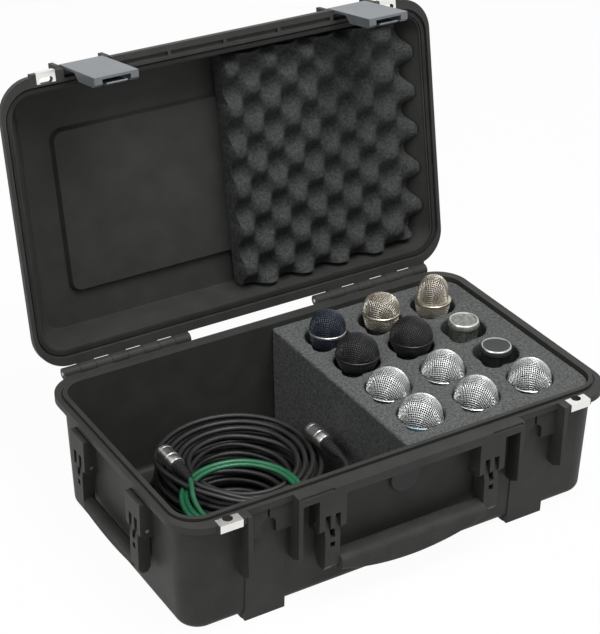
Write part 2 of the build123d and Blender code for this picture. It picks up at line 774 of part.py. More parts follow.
with BuildPart() as lid_foam:
    # Slab against the middle panel, with staggered peaks towards the opening
    foam_back = lid_top - lid_wall - panel_step - foam_fit
    slab_low = foam_back - crate_slab
    block((crate_left_x, crate_right_x), (-crate_width / 2, crate_width / 2), (slab_low, foam_back))
    columns = int((crate_right_x - crate_first_x) / (crate_pitch_x / 2)) + 1
    rows = int(crate_width / 2 / crate_pitch_y) + 1
    for column in range(columns):
        x = crate_first_x + crate_pitch_x / 2 * column
        for row in range(-rows, rows + 1):
            y = crate_first_y + crate_pitch_y * (row + column % 2 / 2)
            if abs(y) > (crate_width + crate_tip) / 2:
                continue
            with BuildSketch(down_from(slab_low)) as foot:
                with Locations((x, -y)):
                    Rectangle(crate_foot, crate_foot)
            with BuildSketch(down_from(slab_low - crate_peak)) as tip:
                with Locations((x, -y)):
                    Rectangle(crate_tip, crate_tip)
            loft([foot.sketch, tip.sketch])
    with BuildSketch(down_from(foam_back)) as outline:
        with Locations(((crate_left_x + crate_right_x) / 2, 0)):
            Rectangle(crate_right_x - crate_left_x, crate_width)
        fillet(outline.vertices().group_by(Axis.X)[-1], radius=crate_radius)
    extrude(outline.sketch, amount=crate_slab + crate_peak, mode=Mode.INTERSECT)
save(opened(lid_foam.part), "lid_foam")

# ---------------------------------------------------------------- latches

for name, side in sides.items():
    station_x = side * latch_x
    half = latch_width / 2
    plate_back = shelf_front - latch_plate
    bottom = rim_height - latch_drop
    leg_back = plate_back - leg_depth

    with BuildPart() as latch_pin:
        rod(latch_pin_radius, (station_x - fin_outer_offset, station_x + fin_outer_offset),
            -latch_pin_y, latch_pin_z)
    save(opened(latch_pin.part), f"latch_pin_{name}")

    with BuildPart() as latch:
        latch_x_span = (station_x - half, station_x + half)
        rod(latch_knuckle_radius, latch_x_span, -latch_pin_y, latch_pin_z)
        outline = [(-shelf_front, bottom), (-shelf_front, latch_pin_z),
                   (-plate_back + 0.5, latch_pin_z + latch_knuckle_radius),
                   (-latch_pin_y, latch_pin_z + latch_knuckle_radius),
                   (-latch_pin_y, latch_pin_z - latch_knuckle_radius),
                   (-plate_back, latch_pin_z - latch_knuckle_radius - 4), (-plate_back, bottom)]
        side_profile(outline, latch_x_span)
        # Legs beside the trigger
        for edge in (-1, 1):
            leg_x = pair((half - leg_width, half), edge)
            leg_x = (station_x + leg_x[0], station_x + leg_x[1])
            outline = [(-plate_back, rim_height - leg_top_drop), (-leg_back, rim_height - leg_top_drop - 8),
                       (-leg_back, bottom + 4), (-leg_back - 3, bottom), (-plate_back, bottom)]
            side_profile(outline, leg_x)
        rod(latch_pin_radius + pin_running, (latch_x_span[0] - 1, latch_x_span[1] + 1),
            -latch_pin_y, latch_pin_z, Mode.SUBTRACT)
        rod(trigger_pin_radius + pin_fit, (latch_x_span[0] - 1, latch_x_span[1] + 1),
            -trigger_pin_y, trigger_pin_z, Mode.SUBTRACT)
    save(opened(latch.part), f"latch_{name}")

    with BuildPart() as trigger_pin:
        rod(trigger_pin_radius, latch_x_span, -trigger_pin_y, trigger_pin_z)
    save(opened(trigger_pin.part), f"trigger_pin_{name}")

    with BuildPart() as trigger:
        hub_x = (station_x - trigger_hub_width / 2, station_x + trigger_hub_width / 2)
        lip = rim_height - trigger_lip_drop
        rod(trigger_hub_radius, hub_x, -trigger_pin_y, trigger_pin_z)
        outline = [(-trigger_lever_back, trigger_pin_z), (-trigger_lever_front, trigger_pin_z),
                   (-trigger_lever_front, lip + 7), (-trigger_lip_front, lip + 1),
                   (-trigger_lip_front + 1, lip), (-trigger_lever_back - 1, lip + 4),
                   (-trigger_lever_back, lip + 9)]
        side_profile(outline, hub_x)
        # Nose that reaches towards the underside of the keeper
        outline = [(-trigger_lever_back - 1, rim_height - nose_top_drop),
                   (-nose_back, rim_height - nose_top_drop),
                   (-trigger_lever_back - 1, rim_height - nose_bottom_drop)]
        side_profile(outline, hub_x)
        rod(trigger_pin_radius + pin_running, (hub_x[0] - 1, hub_x[1] + 1),
            -trigger_pin_y, trigger_pin_z, Mode.SUBTRACT)
    save(opened(trigger.part), f"trigger_{name}")

    with BuildPart() as trigger_spring:
        # One coil each side of the hub, round the pin
        for edge in (-1, 1):
            near = trigger_hub_width / 2 + spring_gap
            coil = pair((near, near + spring_length), edge)
            coil = (station_x + coil[0], station_x + coil[1])
            rod(spring_radius, coil, -trigger_pin_y, trigger_pin_z)
            rod(spring_inner_radius, coil, -trigger_pin_y, trigger_pin_z, Mode.SUBTRACT)
    save(opened(trigger_spring.part), f"trigger_spring_{name}")

# ---------------------------------------------------------------- microphones

# Each head: height above the foam of its widest ring and of its top, radius of the ring,
# and the radius and height of the shoulder where the dome turns over
mic_heads = {
    "ball": {"ring": 0, "top": 24.5, "ring_radius": 25.5, "shoulder": (18.2, 17.6)},
    "high_ball": {"ring": 10, "top": 34, "ring_radius": 25.5, "shoulder": (17.5, 27.5)},
    "taper": {"ring": 12, "top": 28, "ring_radius": 22, "shoulder": (17, 25)},
    "dome": {"ring": 18, "top": 40, "ring_radius": 22, "shoulder": (16, 36)},
    "flat": {"ring": 14, "top": 26, "ring_radius": 24, "shoulder": (18.5, 23.5)},
    "slim": {"ring": 6, "top": 12, "ring_radius": 18.5, "shoulder": (16, 11.2)},
}
mic_rows = [["ball", "ball", "ball"], ["ball", "ball", "slim"], ["high_ball", "high_ball", "slim"],
            ["taper", "flat", "dome"]]


def microphone(x, y, head):
    """Handle, grille bowl, ring band and dome of one microphone that stands on its tail."""
    seat = socket_floor + mic_seat_gap
    ring = foam_top + head["ring"]
    shoulder_radius, shoulder_rise = head["shoulder"]
    ring_radius = head["ring_radius"]
    bowl_radius = ring_radius - mic_band_proud
    neck_radius = min(mic_neck_radius, bowl_radius - mic_band_proud)
    neck = ring - mic_bowl_depth
    band_low = ring - mic_band_height / 2
    band_high = ring + mic_band_height / 2
    with BuildPart() as mic:
        with BuildSketch(Plane(origin=(x, y, 0), x_dir=(1, 0, 0), z_dir=(0, -1, 0))):
            with BuildLine():
                Polyline((0, seat), (mic_tail_radius - mic_tail_bevel, seat),
                         (mic_tail_radius, seat + mic_tail_bevel), (mic_handle_radius, neck - mic_flare),
                         (neck_radius, neck), (bowl_radius, band_low), (ring_radius, band_low),
                         (ring_radius, band_high), (bowl_radius, band_high))
                Spline((bowl_radius, band_high), (shoulder_radius, foam_top + shoulder_rise),
                       (0, foam_top + head["top"]), tangents=((0, 1), (-1, 0)))
                Line((0, foam_top + head["top"]), (0, seat))
            make_face()
        revolve(axis=Axis((x, y, 0), (0, 0, 1)))
    return mic.part


mic_number = 0
for y, kinds in zip(socket_ys, mic_rows):
    for x, kind in zip(socket_xs, kinds):
        mic_number += 1
        save(microphone(x, y, mic_heads[kind]), f"mic_{mic_number:02d}")

# ---------------------------------------------------------------- cables


def coil_ring(x, y, low, outer, inner, height, bevel):
    """Closed ring that a flat coil of cable fills."""
    with BuildPart() as ring:
        with BuildSketch(Plane.XY.offset(low)):
            with Locations((x, y)):
                Circle(outer)
                Circle(inner, mode=Mode.SUBTRACT)
        extrude(amount=height)
        chamfer(ring.faces().sort_by(Axis.Z)[-1].edges(), length=bevel)
    return ring.part


coil_floor = inner_floor + foam_fit
plug_length = barrel_length + boot_length
lower = coil_ring(coil_x, coil_y, coil_floor, coil_outer_radius, coil_inner_radius,
                  lower_coil_height, coil_bevel / 3)
save(lower, "cable_black_lower")
upper_low = coil_floor + lower_coil_height
upper = coil_ring(coil_x + upper_coil_shift, coil_y, upper_low, coil_outer_radius, coil_inner_radius,
                  upper_coil_height, coil_bevel)
save(upper, "cable_black_upper")

green_low = upper_low + upper_coil_height
green = coil_ring(green_coil_x, green_coil_y, green_low, green_coil_radius,
                  green_coil_radius - green_coil_width, green_coil_height, cable_radius / 2)
save(green, "cable_green")


def plug(place, z):
    """Barrel and tapered boot of one cable plug that lies at a height."""
    x, y, turn = place
    with BuildPart() as solid:
        with BuildSketch(Plane.XY):
            with BuildLine():
                Polyline((0, 0), (barrel_radius, 0), (barrel_radius, barrel_length),
                         (boot_radius, barrel_length), (cable_radius + 1, plug_length),
                         (0, plug_length), close=True)
            make_face()
        revolve(axis=Axis.Y)
    return solid.part.rotate(Axis.Z, turn).moved(Location((x, y, z)))


def plug_pair(name, first, second):
    """Both plugs of one cable, as one node of two solids."""
    with BuildPart() as plugs:
        add(plug(*first))
        add(plug(*second))
    save(plugs.part, name)


top_plug_z = green_low + barrel_radius + parting_gap
crossing_plug_z = green_low + green_coil_height + boot_radius
floor_plug_z = coil_floor + barrel_radius
plug_pair("plugs_black_upper", (upper_plug_right, top_plug_z), (upper_plug_left, floor_plug_z))
plug_pair("plugs_black_lower", (lower_plug_front, floor_plug_z), (lower_plug_right, floor_plug_z))
plug_pair("plugs_green", (green_plug_left, crossing_plug_z), (green_plug_right, floor_plug_z))

# ---------------------------------------------------------------- written about the whole's middle

front_limit = min(piece.bounding_box().min.Y for piece in pieces)
back_limit = max(piece.bounding_box().max.Y for piece in pieces)
to_middle = Location((0, -(front_limit + back_limit) / 2, 0))
for piece in pieces:
    placed = piece.moved(to_middle)
    placed.label = piece.label
    export_step(placed, f"parts/{piece.label}.step")
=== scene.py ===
import json
import math
import random

import bmesh
import bpy
import numpy as np
from mathutils import Matrix, Vector, noise


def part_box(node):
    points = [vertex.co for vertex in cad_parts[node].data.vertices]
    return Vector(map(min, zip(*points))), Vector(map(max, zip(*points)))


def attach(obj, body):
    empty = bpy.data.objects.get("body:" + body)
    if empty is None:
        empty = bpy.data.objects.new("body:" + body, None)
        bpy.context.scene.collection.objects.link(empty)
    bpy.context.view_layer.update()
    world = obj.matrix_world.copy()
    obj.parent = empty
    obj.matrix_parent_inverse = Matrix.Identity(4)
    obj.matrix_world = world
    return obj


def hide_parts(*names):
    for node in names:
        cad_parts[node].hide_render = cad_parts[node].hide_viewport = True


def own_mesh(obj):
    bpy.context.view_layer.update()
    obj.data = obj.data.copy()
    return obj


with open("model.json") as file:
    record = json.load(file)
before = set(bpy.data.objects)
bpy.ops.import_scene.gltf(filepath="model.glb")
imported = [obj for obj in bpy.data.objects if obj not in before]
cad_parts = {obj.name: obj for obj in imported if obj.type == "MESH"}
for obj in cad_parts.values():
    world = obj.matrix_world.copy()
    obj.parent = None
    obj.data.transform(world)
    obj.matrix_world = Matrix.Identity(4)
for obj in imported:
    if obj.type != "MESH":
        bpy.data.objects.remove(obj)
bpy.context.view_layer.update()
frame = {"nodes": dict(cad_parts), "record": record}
nodes = frame["nodes"]
chance = random.Random(7)

# The part is drawn in millimetres about the middle of the tub; dy takes a drawn point to the frame
hinge_y, hinge_z = 172, 150
lid_swing = Matrix.Rotation(math.radians(-100), 3, "X")
hinge_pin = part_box("hinge_pin_left")
dy = (hinge_pin[0][1] + hinge_pin[1][1]) / 2 - hinge_y / 1000


def at(x, y, z):
    """A drawn point, in metres in the frame."""
    return Vector((x / 1000, y / 1000 + dy, z / 1000))


def opened(point):
    """A point of the closed lid, in metres in the frame, turned to the open lid."""
    hinge = at(0, hinge_y, hinge_z)
    return hinge + lid_swing @ (point - hinge)


# ---------------------------------------------------------------- camera, lights and floor

yaw, pitch, roll = 0.5465, 0.5216, 0.0077
camera_place = (-938.76, -1478.25, 1243.44)
focal_pixels = 1860.17
picture_height = 634
sensor = 36
forward = Vector((math.sin(yaw) * math.cos(pitch), math.cos(yaw) * math.cos(pitch), -math.sin(pitch)))
right = Vector((math.cos(yaw), -math.sin(yaw), 0))
up = right.cross(forward)
turned_right = right * math.cos(roll) + up * math.sin(roll)
turned_up = up * math.cos(roll) - right * math.sin(roll)
lens = bpy.data.cameras.new("camera")
lens.sensor_width = sensor
lens.lens = focal_pixels * sensor / picture_height
lens.clip_end = 50
camera = bpy.data.objects.new("camera", lens)
camera.matrix_world = Matrix.Translation(at(*camera_place)) @ Matrix(
    (turned_right, turned_up, -forward)).transposed().to_4x4()
bpy.context.scene.collection.objects.link(camera)
bpy.context.scene.camera = camera
bpy.context.scene.view_settings.view_transform = "Standard"


def lamp(name, where, aim, size, power):
    """Soft square lamp of size metres and power watts at where, turned to aim."""
    light = bpy.data.lights.new(name, "AREA")
    light.shape = "SQUARE"
    light.size = size
    light.energy = power
    thing = bpy.data.objects.new(name, light)
    thing.location = where
    thing.rotation_euler = (Vector(aim) - Vector(where)).to_track_quat("-Z", "Y").to_euler()
    bpy.context.scene.collection.objects.link(thing)


lamp("key", (-2.2, -0.5, 2.1), (0, 0, 0.2), 1.3, 24)
lamp("top", (0.2, -0.8, 2.7), (0, 0, 0.1), 1.5, 66)
lamp("front", (0.4, -2.4, 2.0), (0, 0, 0.1), 1.4, 8)


def seen_directly(tree):
    """One where the ray comes from the camera, a mirror or glass, and zero elsewhere."""
    path = tree.nodes.new("ShaderNodeLightPath")
    first = tree.nodes.new("ShaderNodeMath")
    first.operation = "MAXIMUM"
    second = tree.nodes.new("ShaderNodeMath")
    second.operation = "MAXIMUM"
    tree.links.new(path.outputs["Is Camera Ray"], first.inputs[0])
    tree.links.new(path.outputs["Is Glossy Ray"], first.inputs[1])
    tree.links.new(first.outputs[0], second.inputs[0])
    tree.links.new(path.outputs["Is Transmission Ray"], second.inputs[1])
    return second.outputs[0]


fill_light = 0.12
floor_size, floor_grey, floor_white = 24, 0.8, 0.965

world = bpy.data.worlds.new("world")
world.use_nodes = True
bpy.context.scene.world = world
sky = world.node_tree
sky.nodes.clear()
plain = sky.nodes.new("ShaderNodeBackground")
plain.inputs["Color"].default_value = (1, 1, 1, 1)
plain.inputs["Strength"].default_value = fill_light
white = sky.nodes.new("ShaderNodeBackground")
white.inputs["Color"].default_value = (1, 1, 1, 1)
white.inputs["Strength"].default_value = 1
mix = sky.nodes.new("ShaderNodeMixShader")
end = sky.nodes.new("ShaderNodeOutputWorld")
sky.links.new(seen_directly(sky), mix.inputs[0])
sky.links.new(plain.outputs[0], mix.inputs[1])
sky.links.new(white.outputs[0], mix.inputs[2])
sky.links.new(mix.outputs[0], end.inputs[0])

bpy.ops.mesh.primitive_plane_add(size=floor_size, location=(0, 0, 0))
floor = bpy.context.object
floor.name = "floor"
cover = bpy.data.materials.new("floor")
cover.use_nodes = True
tree = cover.node_tree
tree.nodes.clear()
matt = tree.nodes.new("ShaderNodeBsdfDiffuse")
matt.inputs["Color"].default_value = (floor_grey, floor_grey, floor_grey, 1)
glow = tree.nodes.new("ShaderNodeEmission")
scale = tree.nodes.new("ShaderNodeMath")
scale.operation = "MULTIPLY"
scale.inputs[1].default_value = floor_white
mix = tree.nodes.new("ShaderNodeMixShader")
end = tree.nodes.new("ShaderNodeOutputMaterial")
tree.links.new(seen_directly(tree), scale.inputs[0])
tree.links.new(scale.outputs[0], mix.inputs[0])
tree.links.new(matt.outputs[0], mix.inputs[1])
tree.links.new(glow.outputs[0], mix.inputs[2])
tree.links.new(mix.outputs[0], end.inputs[0])
floor.data.materials.append(cover)

# ---------------------------------------------------------------- materials

mix_low, mix_high = 0.36, 0.64
pore_to_grain = 1.6
# Share, brightening and bend of the edge lightening: partly wear, partly a painted sheen on moulded edges
edge_wear_and_sheen_share, edge_wear_and_sheen_bright, edge_wear_and_sheen_bend = 0.35, 2.2, 0.8


def texture(tree, kind, vector, size, detail=3.0):
    """Noise or Voronoi texture whose cells are about size metres."""
    made = tree.nodes.new(kind)
    made.inputs["Scale"].default_value = 1 / size
    if kind == "ShaderNodeTexNoise":
        made.inputs["Detail"].default_value = detail
    tree.links.new(vector, made.inputs["Vector"])
    return made


def finish(name, dark, light, rough, metal=0.0, cloud=0.03, grain=0.0009, relief=0.00005, spread=0.08,
           stretch=(1, 1, 1), cells=False, edge=0.0, gloss=0.5):
    """Material with cloudy colour, a fine grain in its roughness and relief, and edges lightened in colour,
    partly as wear and partly as a painted sheen.

    cloud, grain, relief and edge are in metres; cells gives the relief a foam's pores.
    """
    made = bpy.data.materials.new(name)
    made.use_nodes = True
    tree = made.node_tree
    shader = tree.nodes["Principled BSDF"]
    shader.inputs["Metallic"].default_value = metal
    shader.inputs["Specular IOR Level"].default_value = gloss
    place = tree.nodes.new("ShaderNodeTexCoord")
    mapped = tree.nodes.new("ShaderNodeMapping")
    mapped.inputs["Scale"].default_value = stretch
    tree.links.new(place.outputs["Object"], mapped.inputs["Vector"])
    vector = mapped.outputs["Vector"]
    broad = texture(tree, "ShaderNodeTexNoise", vector, cloud, 5)
    fine = texture(tree, "ShaderNodeTexNoise", vector, grain, 2)
    blend = tree.nodes.new("ShaderNodeMix")
    blend.data_type = "RGBA"
    blend.inputs["A"].default_value = (*dark, 1)
    blend.inputs["B"].default_value = (*light, 1)
    both = tree.nodes.new("ShaderNodeMath")
    both.operation = "MULTIPLY_ADD"
    both.inputs[1].default_value = 0.5
    tree.links.new(broad.outputs["Fac"], both.inputs[0])
    half = tree.nodes.new("ShaderNodeMath")
    half.operation = "MULTIPLY"
    half.inputs[1].default_value = 0.5
    tree.links.new(fine.outputs["Fac"], half.inputs[0])
    tree.links.new(half.outputs[0], both.inputs[2])
    steep = tree.nodes.new("ShaderNodeMapRange")
    steep.inputs["From Min"].default_value = mix_low
    steep.inputs["From Max"].default_value = mix_high
    tree.links.new(both.outputs[0], steep.inputs["Value"])
    tree.links.new(steep.outputs["Result"], blend.inputs["Factor"])
    colour = blend.outputs["Result"]
    span = tree.nodes.new("ShaderNodeMapRange")
    span.inputs["To Min"].default_value = rough - spread
    span.inputs["To Max"].default_value = rough + spread
    tree.links.new(fine.outputs["Fac"], span.inputs["Value"])
    tree.links.new(span.outputs["Result"], shader.inputs["Roughness"])
    bump = tree.nodes.new("ShaderNodeBump")
    bump.inputs["Distance"].default_value = relief
    if cells:
        pores = texture(tree, "ShaderNodeTexVoronoi", vector, grain * pore_to_grain)
        tree.links.new(pores.outputs["Distance"], bump.inputs["Height"])
    else:
        tree.links.new(fine.outputs["Fac"], bump.inputs["Height"])
    if edge:
        soft = tree.nodes.new("ShaderNodeBevel")
        soft.samples = 4
        soft.inputs["Radius"].default_value = edge
        here = tree.nodes.new("ShaderNodeNewGeometry")
        dot = tree.nodes.new("ShaderNodeVectorMath")
        dot.operation = "DOT_PRODUCT"
        tree.links.new(soft.outputs["Normal"], dot.inputs[0])
        tree.links.new(here.outputs["Normal"], dot.inputs[1])
        # Painted sheen and wear: the colour is lightened towards a brighter tone where the rounded normal
        # turns away from the true one, along edges
        edge_wear_and_sheen = tree.nodes.new("ShaderNodeMapRange")
        edge_wear_and_sheen.inputs["From Min"].default_value = 1
        edge_wear_and_sheen.inputs["From Max"].default_value = edge_wear_and_sheen_bend
        edge_wear_and_sheen.inputs["To Max"].default_value = edge_wear_and_sheen_share
        tree.links.new(dot.outputs["Value"], edge_wear_and_sheen.inputs["Value"])
        edge_wear_and_sheen_mix = tree.nodes.new("ShaderNodeMix")
        edge_wear_and_sheen_mix.data_type = "RGBA"
        edge_wear_and_sheen_mix.inputs["B"].default_value = (*[edge_wear_and_sheen_bright * part for part in light], 1)
        tree.links.new(edge_wear_and_sheen.outputs["Result"], edge_wear_and_sheen_mix.inputs["Factor"])
        tree.links.new(colour, edge_wear_and_sheen_mix.inputs["A"])
        colour = edge_wear_and_sheen_mix.outputs["Result"]
        tree.links.new(soft.outputs["Normal"], bump.inputs["Normal"])
    tree.links.new(colour, shader.inputs["Base Color"])
    tree.links.new(bump.outputs["Normal"], shader.inputs["Normal"])
    return made


finishes = {
    "shell_plastic": finish("shell_plastic", (0.032, 0.033, 0.031), (0.048, 0.049, 0.045), 0.5,
                            grain=0.0007, relief=0.00009, edge=0.0008, gloss=0.14),
    "black_plastic": finish("black_plastic", (0.02, 0.02, 0.02), (0.032, 0.032, 0.031), 0.42,
                            grain=0.0008, relief=0.00005, edge=0.0006, gloss=0.25),
    "latch_plastic": finish("latch_plastic", (0.11, 0.125, 0.135), (0.15, 0.165, 0.175), 0.36,
                            grain=0.0006, relief=0.00003, edge=0.0006),
    "grip_rubber": finish("grip_rubber", (0.032, 0.032, 0.03), (0.055, 0.055, 0.052), 0.66,
                          grain=0.0012, relief=0.00014, edge=0.0009, gloss=0.12),
    "gasket_rubber": finish("gasket_rubber", (0.014, 0.014, 0.014), (0.026, 0.026, 0.026), 0.55,
                            grain=0.001, relief=0.00005, gloss=0.2),
    "steel": finish("steel", (0.42, 0.42, 0.42), (0.58, 0.58, 0.57), 0.34, 1.0, grain=0.0006,
                    relief=0.00002, stretch=(0.08, 1, 1)),
    "nickel_plate": finish("nickel_plate", (0.78, 0.77, 0.73), (0.9, 0.89, 0.86), 0.24, 1.0,
                           grain=0.0009, relief=0.00002, stretch=(1, 0.15, 1)),
    "foam": finish("foam", (0.052, 0.055, 0.054), (0.168, 0.174, 0.17), 0.94, cloud=0.0032,
                   grain=0.0011, relief=0.0004, cells=True, gloss=0.03),
    "cable_black": finish("cable_black", (0.012, 0.012, 0.012), (0.024, 0.024, 0.023), 0.46,
                          grain=0.0014, relief=0.00006, cloud=0.015, gloss=0.4),
    "cable_green": finish("cable_green", (0.008, 0.085, 0.036), (0.017, 0.145, 0.064), 0.36,
                          grain=0.0014, relief=0.00006, cloud=0.015, gloss=0.5),
    "plug_metal": finish("plug_metal", (0.46, 0.46, 0.45), (0.62, 0.62, 0.6), 0.32, 1.0,
                         grain=0.0008, relief=0.00002),
    "mic_silver": finish("mic_silver", (0.55, 0.57, 0.56), (0.74, 0.75, 0.74), 0.3, 1.0, grain=0.0012,
                         relief=0.00002, cloud=0.012),
    "mic_black": finish("mic_black", (0.03, 0.03, 0.032), (0.06, 0.06, 0.064), 0.36, 0.7,
                        grain=0.0012, relief=0.00002, cloud=0.012),
    "mic_blue": finish("mic_blue", (0.035, 0.042, 0.062), (0.065, 0.076, 0.105), 0.34, 0.7,
                       grain=0.0012, relief=0.00002, cloud=0.012),
    "mic_champagne": finish("mic_champagne", (0.48, 0.44, 0.37), (0.66, 0.61, 0.53), 0.32, 1.0,
                            grain=0.0012, relief=0.00002, cloud=0.012),
}
lid_foam = finish("lid_foam", (0.026, 0.028, 0.027), (0.078, 0.082, 0.08), 0.94, cloud=0.0032, grain=0.0011,
                  relief=0.0004, cells=True, gloss=0.03)
mic_core = finish("mic_core", (0.01, 0.01, 0.01), (0.03, 0.03, 0.03), 0.9, grain=0.0012, relief=0.0002,
                  gloss=0.03)
mic_body = finish("mic_body", (0.02, 0.021, 0.022), (0.04, 0.042, 0.043), 0.42, 0.0, grain=0.0008,
                  gloss=0.3)
disc_grey = finish("disc_grey", (0.1, 0.11, 0.095), (0.36, 0.37, 0.33), 0.45, 0.5, cloud=0.004,
                   grain=0.0015, relief=0.0003, cells=True)
band_blue = finish("band_blue", (0.3, 0.42, 0.5), (0.4, 0.52, 0.6), 0.35, 0.6, grain=0.001)
boot_rubber = finish("boot_rubber", (0.012, 0.012, 0.012), (0.028, 0.028, 0.027), 0.6, grain=0.001,
                     gloss=0.2)

slot_of = {row["node"]: row["material_slot"] for row in frame["record"]["subparts"]}
for name, node in nodes.items():
    if not node.material_slots:
        node.data.materials.append(finishes[slot_of[name]])
    for place in node.material_slots:
        place.material = finishes[slot_of[name]]


def piece(name, points, faces, materials, body, sharp=0.6):
    """Mesh piece with smooth shading, on a body."""
    mesh = bpy.data.meshes.new(name)
    mesh.from_pydata([tuple(point) for point in points], [], faces)
    mesh.validate()
    for material in materials:
        mesh.materials.append(material)
    mesh.shade_smooth()
    mesh.set_sharp_from_angle(angle=sharp)
    made = bpy.data.objects.new(name, mesh)
    bpy.context.scene.collection.objects.link(made)
    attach(made, body)
    return made


# ---------------------------------------------------------------- cables

cable_diameter = 0.006
turn_points = 18
coil_radius, coil_width, coil_fan, coil_ripple = 74.5, 37, 0.33, 1.2
layer_change = 1.2
lower_centre, upper_centre = (-122, 4), (-110, 13)
lower_heights = [13.4 + 6.15 * layer for layer in range(6)]
upper_heights = [82.3 - 6.35 * layer for layer in range(6)]
hump, left_hump, right_hump = 12.4, (-2.75, 0.75), (-1.25, 0.5)
green_centre, green_height = (-144, -59), 88.7
green_reach, green_gain, green_ripple, green_waves = 69.5, 6.3, 0.5, 2.3
green_turns, green_count, green_first = 2.2, 44, math.radians(-92)


def winding(centre, heights, first, turns, start_out, seed):
    """Points of a loose coil, wound clockwise in layers that fan out on one side."""
    luck = random.Random(seed)
    sweep = turns * 2 * math.pi / len(heights)
    layers = [(luck.uniform(1.0, 2.0), luck.uniform(-6, 9)) for _ in heights]

    def radius(layer, angle, share):
        lean, shift = layers[layer]
        facing = math.cos(angle - lean)
        width = coil_width * (1 + coil_fan * facing)
        ripple = coil_ripple * math.sin(3 * angle + 2 * layer)
        inward = share if start_out == (layer % 2 == 0) else 1 - share
        return coil_radius + shift * max(0, -facing) + (0.5 - inward) * width + ripple

    points = []
    count = int(round(turns * turn_points))
    for index in range(count + 1):
        travel = turns * 2 * math.pi * index / count
        angle = first - travel
        layer = min(int(travel / sweep), len(heights) - 1)
        share = travel / sweep - layer
        reach = radius(layer, angle, share)
        height = heights[layer]
        if layer and share * sweep < layer_change:
            ease = share * sweep / layer_change
            ease = ease * ease * (3 - 2 * ease)
            reach = reach * ease + radius(layer - 1, angle, 1) * (1 - ease)
            height = height * ease + heights[layer - 1] * (1 - ease)
        points.append((centre[0] + reach * math.cos(angle), centre[1] + reach * math.sin(angle), height))
    return points


def over_the_green(points):
    """The first turns of the upper coil, raised in long humps where they cross the green cable."""
    def share(angle, place):
        middle, spread = place
        return math.exp(-(math.remainder(angle - middle, 2 * math.pi) / spread) ** 4)

    raised = []
    for index, (x, y, z) in enumerate(points):
        turn = index / turn_points
        angle = math.atan2(y - upper_centre[1], x - upper_centre[0])
        lift = share(angle, left_hump) if 0.1 < turn < 2 else 0
        if turn < 0.3:
            lift = max(lift, share(angle, right_hump))
        raised.append((x, y, z + hump * lift))
    return raised


def cable(name, points, colour):
    """Round cable along one open NURBS spline through drawn control points."""
    line = bpy.data.curves.new(name, "CURVE")
    line.dimensions = "3D"
    line.bevel_depth = cable_diameter / 2
    line.bevel_resolution = 3
    line.resolution_u = 3
    line.use_fill_caps = True
    spline = line.splines.new("NURBS")
    spline.points.add(len(points) - 1)
    for knot, point in zip(spline.points, points):
        knot.co = (*at(*point), 1)
    spline.order_u = 3
    spline.use_endpoint_u = True
    line.materials.append(finishes[colour])
    made = bpy.data.objects.new(name, line)
    bpy.context.scene.collection.objects.link(made)
    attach(made, "root")
    return made


def plug(place, height):
    """Points and faces of a connector with a grooved barrel, three pins and a ribbed boot.

    Its open end is at x, y, and turn is the way that its length runs, in degrees from +Y.
    """
    x, y, turn = place
    around, pin_sides, pin_circle = 32, 8, 4
    rib_size, rib_taper, rib_start, rib_pitch = 7.4, 0.55, 32.6, 4.7
    profile = [(0, 6), (7.4, 6), (7.7, 0.5), (8.2, 0), (9.1, 0), (9.5, 0.5), (9.5, 4), (9.1, 4.4),
               (9.1, 6), (9.5, 6.4), (9.5, 19), (9.0, 19.6), (9.0, 21), (9.5, 21.6), (9.5, 30.6),
               (8.9, 31.9), (7.5, 32)]
    metal_rings = len(profile) - 1
    for rib in range(6):
        size = rib_size - rib_taper * rib
        start = rib_start + rib_pitch * rib
        profile += [(size, start), (size - 0.1, start + 2.6), (size - 1, start + 3),
                    (size - 1.1, start + 4.3)]
    profile += [(3.6, 61.4), (2.9, 62)]
    placed = Matrix.Translation(at(x, y, height)) @ Matrix.Rotation(math.radians(turn), 4, "Z")
    points, faces, metal = [], [], []
    for size, along in profile:
        for index in range(around):
            angle = 2 * math.pi * index / around
            points.append(placed @ (Vector((size * math.cos(angle), along, size * math.sin(angle))) / 1000))
    for ring in range(len(profile) - 1):
        for index in range(around):
            beside = (index + 1) % around
            faces.append((ring * around + index, ring * around + beside,
                          (ring + 1) * around + beside, (ring + 1) * around + index))
            metal.append(ring < metal_rings)
    for pin in range(3):
        angle = math.radians(90 + 120 * pin)
        base = len(points)
        for size, along in ((1.2, 6), (1.2, 1.6), (0.7, 1.0), (0, 1.0)):
            for index in range(pin_sides):
                way = 2 * math.pi * index / pin_sides
                spot = Vector((pin_circle * math.cos(angle) + size * math.cos(way), along,
                               pin_circle * math.sin(angle) + size * math.sin(way)))
                points.append(placed @ (spot / 1000))
        for ring in range(3):
            for index in range(pin_sides):
                beside = (index + 1) % pin_sides
                here, ahead = base + ring * pin_sides, base + (ring + 1) * pin_sides
                faces.append((here + index, ahead + index, ahead + beside, here + beside))
                metal.append(True)
    return points, faces, metal


def plug_pair(name, first, second):
    """Both connectors of one cable, as one piece."""
    points, faces, metal = plug(*first)
    more_points, more_faces, more_metal = plug(*second)
    faces += [tuple(corner + len(points) for corner in face) for face in more_faces]
    made = piece(name + "_turned", points + more_points, faces, [finishes["plug_metal"], boot_rubber], "root")
    for face, bright in zip(made.data.polygons, metal + more_metal):
        face.material_index = 0 if bright else 1
    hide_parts(name)
    return made


